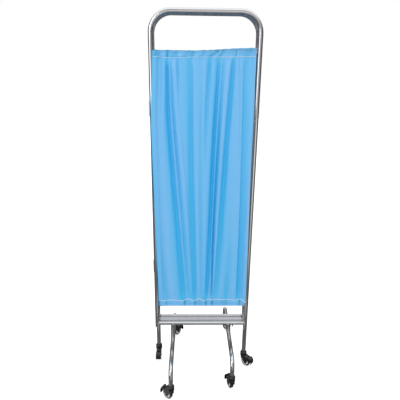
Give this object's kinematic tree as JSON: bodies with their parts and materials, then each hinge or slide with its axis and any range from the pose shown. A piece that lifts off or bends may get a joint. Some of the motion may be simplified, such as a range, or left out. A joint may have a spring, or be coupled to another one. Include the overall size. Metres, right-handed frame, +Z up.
{
  "type": "ward privacy screen",
  "caption": "Folding ward privacy screen of bent steel tube with gathered blue curtains, arch feet and braked castors; its hinged outer panels swing open.",
  "frame": {"origin": "on the floor under the middle of the folded screen's box", "axes": "+Z up, X along the panels, -Y towards the front panel"},
  "size_m": [0.539, 0.5812, 1.7897],
  "materials": {
    "steel": "polished stainless steel tube, bright with dark reflections",
    "cloth": "matt light blue woven polyester, gathered",
    "black_plastic": "black moulded nylon with a low sheen",
    "tyre": "black rubber tread, dull",
    "grey_plastic": "light grey moulded plastic"
  },
  "bodies": {
    "middle_panel": {"front_upper_hinge_inner_leaf": "steel", "front_upper_hinge_pin": "steel", "front_lower_hinge_inner_leaf": "steel", "front_lower_hinge_pin": "steel", "middle_frame": "steel", "middle_crossbar": "steel", "middle_top_rod": "steel", "middle_bottom_rod": "steel", "middle_curtain": "cloth", "back_upper_hinge_inner_leaf": "steel", "back_upper_hinge_pin": "steel", "back_lower_hinge_inner_leaf": "steel", "back_lower_hinge_pin": "steel"},
    "front_panel": {"front_frame": "steel", "front_foot": "steel", "front_crossbar": "steel", "front_top_rod": "steel", "front_bottom_rod": "steel", "front_curtain": "cloth", "front_upper_hinge_outer_leaf": "steel", "front_lower_hinge_outer_leaf": "steel", "front_leg_caster_stem": "black_plastic", "front_foot_near_caster_stem": "black_plastic", "front_foot_far_caster_stem": "black_plastic"},
    "back_panel": {"back_frame": "steel", "back_foot": "steel", "back_crossbar": "steel", "back_top_rod": "steel", "back_bottom_rod": "steel", "back_curtain": "cloth", "back_upper_hinge_outer_leaf": "steel", "back_lower_hinge_outer_leaf": "steel", "back_leg_caster_stem": "black_plastic", "back_foot_far_caster_stem": "black_plastic", "back_foot_near_caster_stem": "black_plastic"},
    "front_leg_fork": {"front_leg_caster_yoke": "black_plastic"},
    "front_leg_wheel": {"front_leg_caster_hub": "grey_plastic", "front_leg_caster_tyre": "tyre"},
    "front_leg_pedal": {"front_leg_brake_pedal": "black_plastic"},
    "front_foot_near_fork": {"front_foot_near_caster_yoke": "black_plastic"},
    "front_foot_near_wheel": {"front_foot_near_caster_hub": "grey_plastic", "front_foot_near_caster_tyre": "tyre"},
    "front_foot_near_pedal": {"front_foot_near_brake_pedal": "black_plastic"},
    "front_foot_far_fork": {"front_foot_far_caster_yoke": "black_plastic"},
    "front_foot_far_wheel": {"front_foot_far_caster_hub": "grey_plastic", "front_foot_far_caster_tyre": "tyre"},
    "front_foot_far_pedal": {"front_foot_far_brake_pedal": "black_plastic"},
    "back_leg_fork": {"back_leg_caster_yoke": "black_plastic"},
    "back_leg_wheel": {"back_leg_caster_hub": "grey_plastic", "back_leg_caster_tyre": "tyre"},
    "back_leg_pedal": {"back_leg_brake_pedal": "black_plastic"},
    "back_foot_far_fork": {"back_foot_far_caster_yoke": "black_plastic"},
    "back_foot_far_wheel": {"back_foot_far_caster_hub": "grey_plastic", "back_foot_far_caster_tyre": "tyre"},
    "back_foot_far_pedal": {"back_foot_far_brake_pedal": "black_plastic"},
    "back_foot_near_fork": {"back_foot_near_caster_yoke": "black_plastic"},
    "back_foot_near_wheel": {"back_foot_near_caster_hub": "grey_plastic", "back_foot_near_caster_tyre": "tyre"},
    "back_foot_near_pedal": {"back_foot_near_brake_pedal": "black_plastic"}
  },
  "joints": [
    {"name": "front_panel_hinge", "type": "hinge", "parent": "middle_panel", "child": "front_panel", "pos_m": [-0.26343, -0.01623, 0.9], "axis": [0, 0, -1], "range_deg": [0, 180]},
    {"name": "back_panel_hinge", "type": "hinge", "parent": "middle_panel", "child": "back_panel", "pos_m": [0.22757, 0.01377, 0.9], "axis": [0, 0, -1], "range_deg": [0, 180]},
    {"name": "front_leg_swivel", "type": "hinge", "parent": "front_panel", "child": "front_leg_fork", "pos_m": [0.21607, -0.03123, 0.08], "axis": [0, 0, 1], "continuous": true},
    {"name": "front_leg_wheel_spin", "type": "hinge", "parent": "front_leg_fork", "child": "front_leg_wheel", "pos_m": [0.23026, -0.04231, 0.025], "axis": [0.6157, 0.788, 0], "continuous": true},
    {"name": "front_leg_brake", "type": "hinge", "parent": "front_leg_fork", "child": "front_leg_pedal", "pos_m": [0.24208, -0.05155, 0.05], "axis": [0.6157, 0.788, 0], "range_deg": [0, 12]},
    {"name": "front_foot_near_swivel", "type": "hinge", "parent": "front_panel", "child": "front_foot_near_fork", "pos_m": [-0.16992, -0.27323, 0.08], "axis": [0, 0, 1], "continuous": true},
    {"name": "front_foot_near_wheel_spin", "type": "hinge", "parent": "front_foot_near_fork", "child": "front_foot_near_wheel", "pos_m": [-0.18467, -0.26291, 0.025], "axis": [-0.5736, -0.8192, 0], "continuous": true},
    {"name": "front_foot_near_brake", "type": "hinge", "parent": "front_foot_near_fork", "child": "front_foot_near_pedal", "pos_m": [-0.19696, -0.2543, 0.05], "axis": [-0.5736, -0.8192, 0], "range_deg": [0, 12]},
    {"name": "front_foot_far_swivel", "type": "hinge", "parent": "front_panel", "child": "front_foot_far_fork", "pos_m": [-0.16992, 0.21077, 0.08], "axis": [0, 0, 1], "continuous": true},
    {"name": "front_foot_far_wheel_spin", "type": "hinge", "parent": "front_foot_far_fork", "child": "front_foot_far_wheel", "pos_m": [-0.1572, 0.2235, 0.025], "axis": [-0.7071, 0.7071, 0], "continuous": true},
    {"name": "front_foot_far_brake", "type": "hinge", "parent": "front_foot_far_fork", "child": "front_foot_far_pedal", "pos_m": [-0.14659, 0.2341, 0.05], "axis": [-0.7071, 0.7071, 0], "range_deg": [0, 12]},
    {"name": "back_leg_swivel", "type": "hinge", "parent": "back_panel", "child": "back_leg_fork", "pos_m": [-0.25193, 0.02877, 0.08], "axis": [0, 0, 1], "continuous": true},
    {"name": "back_leg_wheel_spin", "type": "hinge", "parent": "back_leg_fork", "child": "back_leg_wheel", "pos_m": [-0.25193, 0.01077, 0.025], "axis": [1, 0, 0], "continuous": true},
    {"name": "back_leg_brake", "type": "hinge", "parent": "back_leg_fork", "child": "back_leg_pedal", "pos_m": [-0.25193, -0.00423, 0.05], "axis": [1, 0, 0], "range_deg": [0, 12]},
    {"name": "back_foot_far_swivel", "type": "hinge", "parent": "back_panel", "child": "back_foot_far_fork", "pos_m": [0.13407, 0.27077, 0.08], "axis": [0, 0, 1], "continuous": true},
    {"name": "back_foot_far_wheel_spin", "type": "hinge", "parent": "back_foot_far_fork", "child": "back_foot_far_wheel", "pos_m": [0.15201, 0.27234, 0.025], "axis": [-0.0872, 0.9962, 0], "continuous": true},
    {"name": "back_foot_far_brake", "type": "hinge", "parent": "back_foot_far_fork", "child": "back_foot_far_pedal", "pos_m": [0.16695, 0.27364, 0.05], "axis": [-0.0872, 0.9962, 0], "range_deg": [0, 12]},
    {"name": "back_foot_near_swivel", "type": "hinge", "parent": "back_panel", "child": "back_foot_near_fork", "pos_m": [0.13407, -0.21323, 0.08], "axis": [0, 0, 1], "continuous": true},
    {"name": "back_foot_near_wheel_spin", "type": "hinge", "parent": "back_foot_near_fork", "child": "back_foot_near_wheel", "pos_m": [0.12792, -0.19632, 0.025], "axis": [-0.9397, -0.342, 0], "continuous": true},
    {"name": "back_foot_near_brake", "type": "hinge", "parent": "back_foot_near_fork", "child": "back_foot_near_pedal", "pos_m": [0.12279, -0.18222, 0.05], "axis": [-0.9397, -0.342, 0], "range_deg": [0, 12]}
  ]
}
